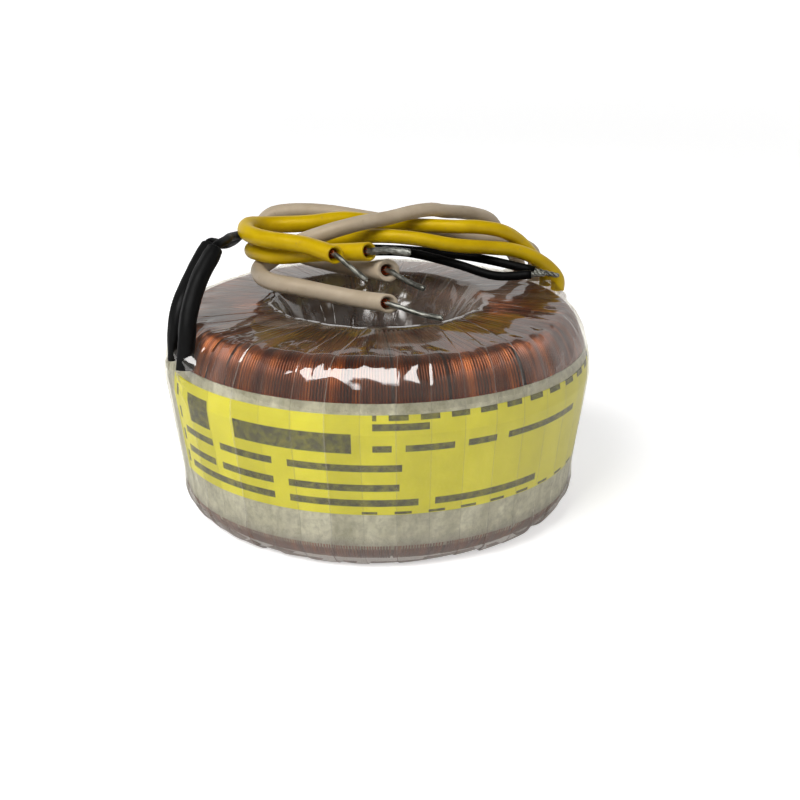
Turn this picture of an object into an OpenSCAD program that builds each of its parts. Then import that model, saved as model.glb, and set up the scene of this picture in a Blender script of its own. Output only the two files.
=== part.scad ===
// Toroidal mains transformer: strip-wound core, four windings, film wrap and six free leads.
// Z is up, the part rests on z = 0 and the mounting bore runs down its axis. Sizes in mm.

/* [Body] */
// outside diameter over the film wrap
body_d = 80; // [60:1:110]
// height over the film wrap
body_h = 39; // [30:1:55]
// height of the widest point of the barrel
widest_z = 26; // [20:1:28]
// how much the side draws in from the widest point down to the bottom corner
side_taper = 3; // [0:0.5:4]
// radial width of the rounded top shoulder
shoulder_w = 6; // [4:0.5:9]
// fall of the top from the hole's rim to the shoulder
top_fall = 0.8; // [0:0.1:2]
// radius of the bottom corner
corner_r = 6; // [3:0.5:7]

/* [Hole] */
// diameter of the mounting bore
bore_d = 27; // [20:1:34]
// radial width of the funnel at each end of the bore
funnel_w = 6.5; // [3:0.5:9]
// depth of the funnel at each end of the bore
funnel_h = 12; // [6:1:14]

/* [Film wrap] */
// number of film strips round the body, every second one proud
film_strips = 42; // [24:2:60]
// how far a proud strip stands above its neighbours
strip_step = 0.15; // [0.05:0.05:0.3]
// film thickness on the outside wall
film_out_t = 0.4; // [0.3:0.1:1]
// film thickness on the top and bottom
film_end_t = 0.8; // [0.6:0.1:1.5]
// film thickness on the bore wall
film_in_t = 1; // [0.6:0.1:2]

/* [Windings] */
// thickness of each secondary winding on the outside wall
sec_out_t = 0.6; // [0.4:0.1:1.2]
// thickness of each secondary winding on the top and bottom
sec_end_t = 1.15; // [0.8:0.05:2]
// thickness of each secondary winding in the window
sec_in_t = 1.4; // [1:0.1:2]
// thickness of the insulation between primary and secondaries
interlayer_t = 0.3; // [0.2:0.05:0.8]
// thickness of the primary winding on the outside wall
pri_out_t = 1.6; // [1:0.1:3]
// thickness of the primary winding on the top and bottom
pri_end_t = 3.1; // [2:0.1:4]
// thickness of the primary winding in the window
pri_in_t = 2.9; // [2:0.1:4]

/* [Core] */
// thickness of the core's insulating strips and end rings
core_ins_t = 0.5; // [0.3:0.1:1]

/* [Side band and label] */
// thickness of the side band
band_t = 0.35; // [0.2:0.05:0.6]
// height of the band's lower edge
band_low = 4; // [2:0.5:8]
// height of the band's upper edge
band_high = 31.2; // [26:0.2:32]
// thickness of the label
label_t = 0.15; // [0.1:0.05:0.3]
// height of the label's lower edge
label_low = 11; // [5:0.5:14]
// height of the label's upper edge
label_high = 29.4; // [20:0.2:29.6]
// angle of the label's left edge, anticlockwise from +X
label_start = 203; // [160:1:230]
// angle that the label covers
label_sweep = 162; // [90:1:250]

/* [Leads] */
// outside diameter of the white and yellow leads
lead_d = 2.9; // [2.5:0.1:3]
// inside diameter of their open ends
lead_hollow_d = 2; // [1.4:0.1:2.1]
// depth of the open ends
lead_hollow_h = 3; // [1:0.5:4]
// diameter of the bare ends of the white and yellow leads
tip_d = 1; // [0.6:0.1:1.2]
// outside diameter of the black leads
black_d = 1.7; // [1.2:0.1:1.8]
// diameter of the bare ends of the black leads
black_tip_d = 1; // [0.8:0.1:1.2]
// diameter of the front black sleeve
sleeve_front_d = 3.2; // [2.4:0.1:3.3]
// diameter of the rear black sleeve
sleeve_rear_d = 3; // [2.4:0.1:3.2]
// film thickness over a lead where it goes under the wrap
pocket_t = 0.45; // [0.3:0.05:0.8]

// which node to draw

/* [Hidden] */

$fn = 64;
cover_t = label_t + band_t;
deep = [film_in_t + 2 * sec_in_t + interlayer_t + pri_in_t,
  film_end_t + 2 * sec_end_t + interlayer_t + pri_end_t,
  film_out_t + cover_t + 2 * sec_out_t + interlayer_t + pri_out_t];

// build-up over each surface, as [window, ends, outside]
at_skin = [0, 0, 0];
at_strip = [strip_step, strip_step, strip_step];
at_label = [film_in_t, film_end_t, film_out_t];
at_band = [film_in_t, film_end_t, film_out_t + label_t];
at_sec_2 = [film_in_t, film_end_t, film_out_t + cover_t];
at_sec_1 = at_sec_2 + [sec_in_t, sec_end_t, sec_out_t];
at_inter = at_sec_1 + [sec_in_t, sec_end_t, sec_out_t];
at_pri = at_inter + [interlayer_t, interlayer_t, interlayer_t];

core_in = bore_d / 2 + deep[0] + core_ins_t;
core_out = body_d / 2 - deep[2] - core_ins_t;
core_low = deep[1] + core_ins_t;
core_high = body_h - deep[1] - core_ins_t;

// section of the body, taken in by the build-up t; low is the build-up under the base
function shape(t, low = -1) = let (
    ri = bore_d / 2 + t[0],
    ro = body_d / 2 - t[2],
    z0 = low < 0 ? t[1] : low,
    z1 = body_h - t[1],
    left = 1 - t[0] / (deep[0] + 0.6),
    fw = funnel_w * left,
    fh = funnel_h * left,
    tp = side_taper * max(0, 1 - t[2] / deep[2]),
    cr = max(0.6, corner_r - 0.68 * t[1]),
    sw = max(0.6, shoulder_w - t[2]),
    fall = top_fall * left,
    sh = z1 - fall - widest_z
  ) concat(
    [for (a = [0:15:90]) [ro - tp - cr + cr * sin(a), z0 + cr - cr * cos(a)]],
    [for (a = [0:10:90]) [ro - sw + sw * cos(a), widest_z + sh * sin(a)]],
    [for (u = [1:-0.125:0]) [ri + fw * pow(u, 1.5), z1 - fh * (1 - u)]],
    [for (u = [0:0.125:1]) [ri + fw * pow(u, 1.5), z0 + fh * (1 - u)]]
  );

module slab(r0, r1, z0, z1) {
  translate([r0, z0]) square([r1 - r0, z1 - z0]);
}

// one wound layer between two build-ups
module layer(outer, inner) {
  rotate_extrude() difference() {
    polygon(shape(outer));
    polygon(shape(inner));
  }
}

module core_slab() {
  slab(core_in - core_ins_t, core_out + core_ins_t, core_low - core_ins_t, core_high + core_ins_t);
}

/* routes of the free leads on a body 80 across and 39 high, from the film to the free end;
   on_body carries them to the size of the body that is set above */
function on_body(r) = let (wide = body_d / 80, rise = body_h - 39)
  [for (p = r) [p[0] * wide, p[1] * wide, p[2] + rise]];

white_1 = on_body([[29, 23.5, 37], [28.9, 23.3, 39], [24.5, 23, 46], [22.5, 21.5, 49],
  [18.5, 18, 51], [13, 13, 52.5], [10.5, 11, 53.2], [7, 9, 53.2], [2, 6.5, 52.5], [-3.5, 4, 52],
  [-9.5, 3, 50.5], [-15.5, 4, 48], [-20, 4.5, 45], [-22, 2.5, 43.8], [-20.5, -2.5, 43],
  [-14, -6.5, 42.5], [-4.5, -8.5, 41], [2, -12.5, 41]]);
white_2 = on_body([[31.5, 20, 37], [31.5, 20, 39], [31, 19, 43], [26.5, 17.5, 45.5],
  [20, 16, 46.5], [12.5, 15.5, 48], [4.5, 16, 49.5], [-3.5, 15.5, 51], [-10, 15, 52],
  [-17, 14.5, 52.2], [-20.5, 14, 51.5], [-22, 12.2, 49.7], [-20.2, 9.4, 48.1], [-16, 7.7, 45.9],
  [-9, 2.5, 45], [-2.5, -1, 44.5], [2, -6, 45.5]]);
yellow_1 = on_body([[33.5, 16.5, 37], [33.4, 16.3, 39], [29.5, 14, 44.5], [27, 13, 47],
  [24, 11, 49], [19.5, 10, 50], [14.5, 9.5, 50.2], [7.5, 11, 50.2], [0.5, 12, 50.5],
  [-6, 10.5, 51.5], [-13.5, 9, 51], [-21, 8, 51], [-24, 5, 51.5], [-24, 1.5, 51],
  [-20.5, -2, 50.5], [-13, -5, 50], [-7.5, -8.5, 49]]);
yellow_2 = on_body([[35.3, 12.2, 37], [35.3, 12.2, 39], [34, 11.5, 41], [31, 10.5, 43.5],
  [26.5, 9.5, 45.5], [21.5, 7.5, 46.5], [14.5, 5.5, 47.5], [6.5, 5, 49], [-0.5, 7, 49],
  [-7.5, 10.5, 47.5], [-15, 13.5, 45.5], [-20, 13, 45], [-23, 9, 46], [-23, 3.5, 47],
  [-18.5, -0.5, 47], [-10.5, -2.5, 48], [-1.5, -6, 49]]);
black_1 = on_body([[-28.5, -12.5, 51], [-28.25, -12.05, 51.45], [-27, -7.5, 51.5], [-27, 2, 50],
  [-25, 10.5, 48.5], [-22, 16.5, 46.5], [-15, 18.5, 44.5], [-5.5, 18, 43.5], [5.5, 12.5, 44.5],
  [15, 7, 43.5], [22.5, 3.5, 42], [29, 2.5, 42.5]]);
black_2 = on_body([[-30.5, -5.5, 50], [-30.25, -4.85, 50.45], [-28.5, 1.5, 48.7], [-27.5, 9.5, 47.5],
  [-25.5, 17, 47.5], [-22, 21.5, 45], [-15.5, 23, 43.5], [-5.5, 21, 43.5], [6.5, 16.5, 44],
  [19, 10, 44], [30, 5.5, 42.5]]);
sleeve_1 = on_body([[-33.5, -22.5, 32], [-33, -22, 36.5], [-32.5, -20.5, 41.5],
  [-31, -17, 46.5], [-28.5, -12.5, 51]]);
sleeve_2 = on_body([[-36, -17.5, 32.5], [-35.5, -18, 37], [-34.5, -16.5, 42],
  [-33, -12, 45.5], [-30.5, -5.5, 50]]);

function unit(v) = v / norm(v);
function last(p) = p[len(p) - 1];
function end_dir(p) = unit(last(p) - p[len(p) - 2]);
// where a bare end starts: the bottom of the open end
function end_seat(p) = last(p) - lead_hollow_h * end_dir(p);

function tangent(p, i) =
  i == 0 ? unit(p[1] - p[0]) :
  i == len(p) - 1 ? end_dir(p) :
  unit(unit(p[i] - p[i - 1]) + unit(p[i + 1] - p[i]));
function square_to(n, t) = unit(n - (n * t) * t);
function frames(p, i = 0, n = [0.1, 0.9, 0.3]) =
  let (m = square_to(n, tangent(p, i)))
  i == len(p) - 1 ? [m] : concat([m], frames(p, i + 1, m));
function ring(c, t, n, r) =
  [for (k = [0:7]) c + r * (n * cos(45 * k) + cross(t, n) * sin(45 * k))];

// round cord of radius r through the points p
module cord(p, r) {
  f = frames(p);
  c = len(p);
  polyhedron(
    points = [for (i = [0:c - 1]) each ring(p[i], tangent(p, i), f[i], r)],
    faces = concat(
      [[for (k = [7:-1:0]) k]],
      [for (i = [0:c - 2], k = [0:7]) each [
        [8 * i + k, 8 * i + (k + 1) % 8, 8 * i + 8 + (k + 1) % 8],
        [8 * i + k, 8 * i + 8 + (k + 1) % 8, 8 * i + 8 + k]]],
      [[for (k = [0:7]) 8 * (c - 1) + k]]),
    convexity = 10);
}

// cylinder from a towards b, longer by the given amount
module rod(a, b, r, more = 0) {
  v = b - a;
  translate(a)
    rotate([0, acos(v[2] / norm(v)), atan2(v[1], v[0])])
      cylinder(r = r, h = norm(v) + more);
}

// film raised over the end of a cord, and the channel that the cord lies in
module pocket(p, r) {
  translate(p[0]) sphere(r = r + pocket_t);
  rod(p[0], p[1], r + pocket_t, -0.6);
}
module channel(p, r) {
  rod(p[0], p[1], r, 1.5);
}

module open_lead(p) {
  difference() {
    cord(p, lead_d / 2);
    rod(end_seat(p), last(p), lead_hollow_d / 2, 1);
  }
}

module core() {
  color([0.55, 0.56, 0.58]) rotate_extrude() slab(core_in, core_out, core_low, core_high);
}

module core_end_ring_top() {
  color([0.72, 0.60, 0.42]) rotate_extrude()
    slab(core_in, core_out, core_high, core_high + core_ins_t);
}

module core_end_ring_bottom() {
  color([0.72, 0.60, 0.42]) rotate_extrude()
    slab(core_in, core_out, core_low - core_ins_t, core_low);
}

module core_outer_strip() {
  color([0.78, 0.68, 0.50]) rotate_extrude()
    slab(core_out, core_out + core_ins_t, core_low - core_ins_t, core_high + core_ins_t);
}

module core_inner_strip() {
  color([0.78, 0.68, 0.50]) rotate_extrude()
    slab(core_in - core_ins_t, core_in, core_low - core_ins_t, core_high + core_ins_t);
}

module primary_winding() {
  color([0.70, 0.32, 0.16]) rotate_extrude() difference() {
    polygon(shape(at_pri));
    core_slab();
  }
}

module interlayer_insulation() {
  color([0.85, 0.80, 0.62]) layer(at_inter, at_pri);
}

module secondary_winding_1() {
  color([0.68, 0.31, 0.15]) layer(at_sec_1, at_inter);
}

module secondary_winding_2() {
  color([0.62, 0.26, 0.13]) layer(at_sec_2, at_sec_1);
}

module side_band() {
  color([0.72, 0.71, 0.65]) rotate_extrude() intersection() {
    difference() {
      polygon(shape(at_band));
      polygon(shape(at_sec_2));
    }
    slab(body_d / 4 + bore_d / 4, body_d, band_low, band_high);
  }
}

module label() {
  color([0.86, 0.82, 0.25]) rotate([0, 0, label_start]) rotate_extrude(angle = label_sweep)
    intersection() {
      difference() {
        polygon(shape(at_label));
        polygon(shape(at_band));
      }
      slab(body_d / 4 + bore_d / 4, body_d, label_low, label_high);
    }
}

// one proud strip: a thin sector from the bottom corner over the shoulder to the rim
module proud_strip(i) {
  a = 360 / film_strips;
  rotate([0, 0, 2 * i * a]) rotate_extrude(angle = a) intersection() {
    difference() {
      polygon(shape(at_skin));
      polygon(shape(at_strip * 1.6));
    }
    slab(bore_d / 2 + funnel_w, body_d, strip_step, body_h);
  }
}

module film_wrap() {
  color([0.86, 0.84, 0.78, 0.35]) difference() {
    union() {
      rotate_extrude() polygon(shape([0, strip_step, strip_step], 0));
      for (i = [0:film_strips / 2 - 1]) proud_strip(i);
      pocket(white_1, lead_d / 2);
      pocket(white_2, lead_d / 2);
      pocket(yellow_1, lead_d / 2);
      pocket(yellow_2, lead_d / 2);
      pocket(sleeve_1, sleeve_front_d / 2);
      pocket(sleeve_2, sleeve_rear_d / 2);
    }
    rotate_extrude() union() {
      polygon(shape(at_sec_2));
      intersection() {
        polygon(shape(at_band));
        slab(body_d / 4 + bore_d / 4, body_d, band_low, band_high);
      }
    }
    label();
    channel(white_1, lead_d / 2);
    channel(white_2, lead_d / 2);
    channel(yellow_1, lead_d / 2);
    channel(yellow_2, lead_d / 2);
    channel(sleeve_1, sleeve_front_d / 2);
    channel(sleeve_2, sleeve_rear_d / 2);
  }
}

module white_lead_1() {
  color([0.82, 0.78, 0.70]) open_lead(white_1);
}

module white_lead_2() {
  color([0.82, 0.78, 0.70]) open_lead(white_2);
}

module yellow_lead_1() {
  color([0.93, 0.77, 0.05]) open_lead(yellow_1);
}

module yellow_lead_2() {
  color([0.93, 0.77, 0.05]) open_lead(yellow_2);
}

module black_sleeve_1() {
  color([0.06, 0.06, 0.06]) cord(sleeve_1, sleeve_front_d / 2);
}

module black_sleeve_2() {
  color([0.06, 0.06, 0.06]) cord(sleeve_2, sleeve_rear_d / 2);
}

module black_lead_1() {
  color([0.08, 0.08, 0.08]) cord(black_1, black_d / 2);
}

module black_lead_2() {
  color([0.08, 0.08, 0.08]) cord(black_2, black_d / 2);
}

module white_tip_1() {
  color([0.72, 0.73, 0.74])
    cord([end_seat(white_1), last(white_1), last(white_1) + [5.6, -1.5, -1.5],
      last(white_1) + [9.5, -3.5, -1.8]], tip_d / 2);
}

module white_tip_2() {
  color([0.72, 0.73, 0.74])
    cord([end_seat(white_2), last(white_2), last(white_2) + [3, -3, -1.1],
      last(white_2) + [6.5, -6, -2]], tip_d / 2);
}

module yellow_tip_1() {
  color([0.72, 0.73, 0.74])
    cord([end_seat(yellow_1), last(yellow_1), last(yellow_1) + [1.8, -1.5, -1.1],
      last(yellow_1) + [5.7, -2.5, -4.2]], tip_d / 2);
}

module yellow_tip_2() {
  color([0.72, 0.73, 0.74])
    cord([end_seat(yellow_2), last(yellow_2), last(yellow_2) + [3.8, -2.5, 0.8],
      last(yellow_2) + [7.5, -4, 0.6]], tip_d / 2);
}

module black_tip_1() {
  color([0.75, 0.76, 0.77])
    cord([last(black_1), last(black_1) + [2.6, -0.4, 0.2]], black_tip_d / 2);
}

module black_tip_2() {
  color([0.75, 0.76, 0.77])
    cord([last(black_2), last(black_2) + [4.4, -1.8, -0.6]], black_tip_d / 2);
}

core();
core_end_ring_top();
core_end_ring_bottom();
core_outer_strip();
core_inner_strip();
primary_winding();
interlayer_insulation();
secondary_winding_1();
secondary_winding_2();
side_band();
label();
film_wrap();
white_lead_1();
white_lead_2();
yellow_lead_1();
yellow_lead_2();
black_sleeve_1();
black_sleeve_2();
black_lead_1();
black_lead_2();
white_tip_1();
white_tip_2();
yellow_tip_1();
yellow_tip_2();
black_tip_1();
black_tip_2();
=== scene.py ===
import math
import random

import bpy
import numpy as np
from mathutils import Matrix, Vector, noise


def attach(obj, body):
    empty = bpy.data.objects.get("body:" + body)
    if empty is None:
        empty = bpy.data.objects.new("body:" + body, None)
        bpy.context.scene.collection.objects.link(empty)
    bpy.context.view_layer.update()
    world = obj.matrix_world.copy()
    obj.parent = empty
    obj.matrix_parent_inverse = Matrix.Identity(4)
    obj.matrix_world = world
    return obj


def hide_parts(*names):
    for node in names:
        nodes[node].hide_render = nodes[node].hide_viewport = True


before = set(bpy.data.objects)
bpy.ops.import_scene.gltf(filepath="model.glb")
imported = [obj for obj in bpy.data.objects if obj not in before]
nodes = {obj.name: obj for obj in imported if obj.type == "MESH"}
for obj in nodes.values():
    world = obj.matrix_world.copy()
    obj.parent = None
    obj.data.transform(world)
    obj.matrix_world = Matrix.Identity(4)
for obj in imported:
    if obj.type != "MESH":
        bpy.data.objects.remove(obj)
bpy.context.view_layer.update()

MM = 0.001
rng = random.Random(7)
scene = bpy.context.scene

# ---------------------------------------------------------------- camera
CAMERA_AT = Vector((0.0, -0.2559, 0.1071))
CAMERA_AIM = Vector((0.00425, 0.0, 0.0185))
cam_data = bpy.data.cameras.new("camera")
cam_data.sensor_width = 36.0
cam_data.lens = 63.54
cam_data.clip_start = 0.01
cam_data.clip_end = 20.0
camera = bpy.data.objects.new("camera", cam_data)
scene.collection.objects.link(camera)
camera.location = CAMERA_AT
camera.rotation_euler = (CAMERA_AIM - CAMERA_AT).to_track_quat("-Z", "Y").to_euler()
scene.camera = camera


# ---------------------------------------------------------------- mesh helpers
def new_mesh(name, verts, faces, material):
    """A smooth-shaded piece of the object, in metres, with its finish."""
    mesh = bpy.data.meshes.new(name)
    mesh.from_pydata([tuple(v) for v in verts], [], [tuple(f) for f in faces])
    mesh.validate()
    mesh.polygons.foreach_set("use_smooth", [True] * len(mesh.polygons))
    mesh.update()
    obj = bpy.data.objects.new(name, mesh)
    scene.collection.objects.link(obj)
    mesh.materials.append(material)
    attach(obj, "root")
    return obj


def grid_faces(rows, cols, wrap_rows=False, wrap_cols=False, start=0):
    """Quads of a grid whose vertex (i, j) has number start + i * cols + j."""
    faces = []
    for i in range(rows if wrap_rows else rows - 1):
        i2 = (i + 1) % rows
        for j in range(cols if wrap_cols else cols - 1):
            j2 = (j + 1) % cols
            faces.append((start + i * cols + j, start + i2 * cols + j,
                          start + i2 * cols + j2, start + i * cols + j2))
    return faces


def capped_tube(name, rings, material):
    """A closed piece from rings of points in mm, with a flat cap on each end."""
    sides = len(rings[0])
    verts = [p * MM for ring in rings for p in ring]
    faces = [f[::-1] for f in grid_faces(len(rings), sides, wrap_cols=True)]
    faces.append(tuple(range(sides)))
    last = (len(rings) - 1) * sides
    faces.append(tuple(last + k for k in range(sides))[::-1])
    return new_mesh(name, verts, faces, material)


def unit(v):
    return v / np.linalg.norm(v)


def smooth_path(points, per=4):
    """Points on a centripetal Catmull-Rom curve through the route's points."""
    p = np.array(points, float)
    p = np.vstack([2 * p[0] - p[1], p, 2 * p[-1] - p[-2]])
    out = []
    for i in range(1, len(p) - 2):
        knots = [0.0]
        for k in range(3):
            knots.append(knots[-1] + np.linalg.norm(p[i + k] - p[i + k - 1]) ** 0.5)
        t0, t1, t2, t3 = knots
        for t in np.linspace(t1, t2, per, endpoint=False):
            a1 = (t1 - t) / (t1 - t0) * p[i - 1] + (t - t0) / (t1 - t0) * p[i]
            a2 = (t2 - t) / (t2 - t1) * p[i] + (t - t1) / (t2 - t1) * p[i + 1]
            a3 = (t3 - t) / (t3 - t2) * p[i + 1] + (t - t2) / (t3 - t2) * p[i + 2]
            b1 = (t2 - t) / (t2 - t0) * a1 + (t - t0) / (t2 - t0) * a2
            b2 = (t3 - t) / (t3 - t1) * a2 + (t - t1) / (t3 - t1) * a3
            out.append((t2 - t) / (t2 - t1) * b1 + (t - t1) / (t2 - t1) * b2)
    out.append(p[-2])
    return np.array(out)


def distances(path):
    """The distance along the path at each of its points."""
    return np.concatenate([[0.0], np.cumsum(np.linalg.norm(np.diff(path, axis=0), axis=1))])


def path_frames(path):
    """A tangent, a normal and a side vector at each point, without twist."""
    tangents = []
    for i in range(len(path)):
        a = path[max(i - 1, 0)]
        b = path[min(i + 1, len(path) - 1)]
        tangents.append(unit(b - a))
    n = unit(np.cross(tangents[0], [0.3, 0.2, 1.0]))
    frames = []
    for t in tangents:
        n = unit(n - np.dot(n, t) * t)
        frames.append((t, n, np.cross(t, n)))
    return frames


def tube(path, radii, sides, lumps=0.0, seed=0):
    """Rings of a tube along the path, with a radius at each point."""
    rings = []
    for c, r, (_, n, b) in zip(path, radii, path_frames(path)):
        ring = []
        for k in range(sides):
            a = 2 * math.pi * k / sides
            v = n * math.cos(a) + b * math.sin(a)
            rr = r
            if lumps:
                rr += lumps * noise.noise(Vector((c + v * 2) * 0.9) + Vector((seed, 0, 0)))
            ring.append(c + v * rr)
        rings.append(ring)
    return rings


# ---------------------------------------------------------------- node helpers
class Nodes:
    """A short way to write the nodes of a material or a world."""

    def __init__(self, owner, output):
        owner.use_nodes = True
        self.tree = owner.node_tree
        self.tree.nodes.clear()
        self.out = self.add(output)

    def add(self, kind, **settings):
        node = self.tree.nodes.new(kind)
        for key, value in settings.items():
            setattr(node, key, value)
        return node

    def link(self, a, b):
        self.tree.links.new(a, b)

    def put(self, value, socket):
        if isinstance(value, bpy.types.NodeSocket):
            self.link(value, socket)
        else:
            socket.default_value = value

    def math(self, op, a, b=0.0, clamp=False):
        node = self.add("ShaderNodeMath", operation=op, use_clamp=clamp)
        self.put(a, node.inputs[0])
        self.put(b, node.inputs[1])
        return node.outputs[0]

    def times(self, a, b):
        return self.math("MULTIPLY", a, b)

    def plus(self, a, b, clamp=False):
        return self.math("ADD", a, b, clamp)

    def span(self, value, lo, hi, to_lo=0.0, to_hi=1.0):
        node = self.add("ShaderNodeMapRange")
        for socket, v in zip(node.inputs, (value, lo, hi, to_lo, to_hi)):
            self.put(v, socket)
        return node.outputs[0]

    def mix(self, fac, a, b):
        node = self.add("ShaderNodeMix", data_type="RGBA")
        self.put(fac, node.inputs[0])
        self.put(a, node.inputs[6])
        self.put(b, node.inputs[7])
        return node.outputs[2]

    def ramp(self, fac, stops):
        node = self.add("ShaderNodeValToRGB")
        while len(node.color_ramp.elements) < len(stops):
            node.color_ramp.elements.new(0.5)
        for el, (pos, col) in zip(node.color_ramp.elements, stops):
            el.position = pos
            el.color = col
        self.put(fac, node.inputs[0])
        return node.outputs[0]

    def noise(self, scale, vector=None, detail=3.0, rough=0.5, distortion=0.0):
        node = self.add("ShaderNodeTexNoise")
        node.inputs["Scale"].default_value = scale
        node.inputs["Detail"].default_value = detail
        node.inputs["Roughness"].default_value = rough
        node.inputs["Distortion"].default_value = distortion
        if vector is not None:
            self.link(vector, node.inputs["Vector"])
        return node.outputs[0]

    def position(self):
        return self.add("ShaderNodeTexCoord").outputs["Object"]

    def parts(self, vector):
        """The x, y and z of a vector."""
        node = self.add("ShaderNodeSeparateXYZ")
        self.link(vector, node.inputs[0])
        return node.outputs

    def cylinder(self):
        """Angle in turns, radius and height of the point, in metres."""
        x, y, z = self.parts(self.position())
        angle = self.math("DIVIDE", self.math("ARCTAN2", y, x), 2 * math.pi)
        radius = self.math("SQRT", self.plus(self.times(x, x), self.times(y, y)))
        return angle, radius, z

    def vector(self, x, y, z):
        node = self.add("ShaderNodeCombineXYZ")
        for socket, v in zip(node.inputs, (x, y, z)):
            self.put(v, socket)
        return node.outputs[0]

    def bump(self, height, strength, distance, normal=None):
        node = self.add("ShaderNodeBump")
        node.inputs["Strength"].default_value = strength
        node.inputs["Distance"].default_value = distance
        self.link(height, node.inputs["Height"])
        if normal is not None:
            self.link(normal, node.inputs["Normal"])
        return node.outputs[0]

    def mix_shader(self, fac, a, b):
        node = self.add("ShaderNodeMixShader")
        for socket, v in zip(node.inputs, (fac, a, b)):
            self.link(v, socket)
        return node.outputs[0]

    def done(self, shader):
        self.link(shader, self.out.inputs["Surface"])


class Mat(Nodes):
    """A node material, with the patterns and the surface that this scene uses."""

    def __init__(self, name):
        self.mat = bpy.data.materials.new(name)
        super().__init__(self.mat, "ShaderNodeOutputMaterial")

    def surface(self, **values):
        """A Principled shader with these inputs, by name with _ for a space."""
        node = self.add("ShaderNodeBsdfPrincipled")
        for key, value in values.items():
            self.put(value, node.inputs[key.replace("_", " ")])
        return node.outputs[0]

    def done(self, shader):
        super().done(shader)
        return self.mat


def rgb(r, g, b):
    """A colour written as it looks on screen, 0 to 255, as linear RGBA."""
    def lin(c):
        c /= 255.0
        return c / 12.92 if c <= 0.04045 else ((c + 0.055) / 1.055) ** 2.4
    return (lin(r), lin(g), lin(b), 1.0)


# ---------------------------------------------------------------- materials
def pvc(name, base, shade, rough):
    m = Mat(name)
    p = m.position()
    blotch = m.noise(160, p, 4, 0.6)
    fine = m.noise(2600, p, 2, 0.5)
    colour = m.mix(m.span(blotch, 0.35, 0.7), shade, base)
    speck = m.span(m.noise(900, p, 2, 0.4), 0.70, 0.76)
    colour = m.mix(m.times(speck, 0.25), colour, rgb(120, 105, 85))
    roughness = m.span(m.noise(420, p, 3), 0.3, 0.7, rough - 0.06, rough + 0.08)
    height = m.plus(m.times(blotch, 0.6), m.times(fine, 0.2))
    return m.done(m.surface(Base_Color=colour, Roughness=roughness,
                            Normal=m.bump(height, 0.25, 0.0003),
                            Subsurface_Weight=0.08, Subsurface_Radius=(0.4, 0.3, 0.2),
                            Subsurface_Scale=0.001, Specular_IOR_Level=0.3))


def metal(name, dark, light, rough, scale=700):
    m = Mat(name)
    p = m.position()
    n = m.noise(scale, p, 4, 0.6)
    colour = m.mix(m.span(n, 0.35, 0.7), dark, light)
    return m.done(m.surface(Base_Color=colour, Metallic=1.0,
                            Roughness=m.span(n, 0.3, 0.7, rough, rough + 0.18),
                            Normal=m.bump(n, 0.4, 0.00012)))


white_pvc = pvc("white_pvc", rgb(184, 169, 148), rgb(168, 153, 131), 0.45)
yellow_pvc = pvc("yellow_pvc", rgb(200, 168, 0), rgb(180, 148, 0), 0.4)
tinned = metal("tinned_wire", rgb(84, 84, 78), rgb(148, 148, 140), 0.34)
strand_copper = metal("strand_copper", rgb(150, 62, 28), rgb(236, 130, 76), 0.35, 1500)


def black_material(name, base, rough, bump, sheen=0.12):
    m = Mat(name)
    p = m.position()
    n = m.noise(300, p, 4, 0.6)
    f = m.noise(2200, p, 2, 0.6)
    colour = m.mix(m.span(n, 0.45, 0.8), base, rgb(7, 7, 7))
    return m.done(m.surface(Base_Color=colour, Roughness=m.span(n, 0.3, 0.7, rough - 0.08, rough + 0.12),
                            Specular_IOR_Level=sheen,
                            Normal=m.bump(m.plus(n, m.times(f, 0.3)), bump, 0.0004)))


black_pvc = black_material("black_pvc", rgb(3, 3, 3), 0.5, 0.05, 0.06)
black_shrink = black_material("black_shrink", rgb(2, 2, 2), 0.5, 0.12)

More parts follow.
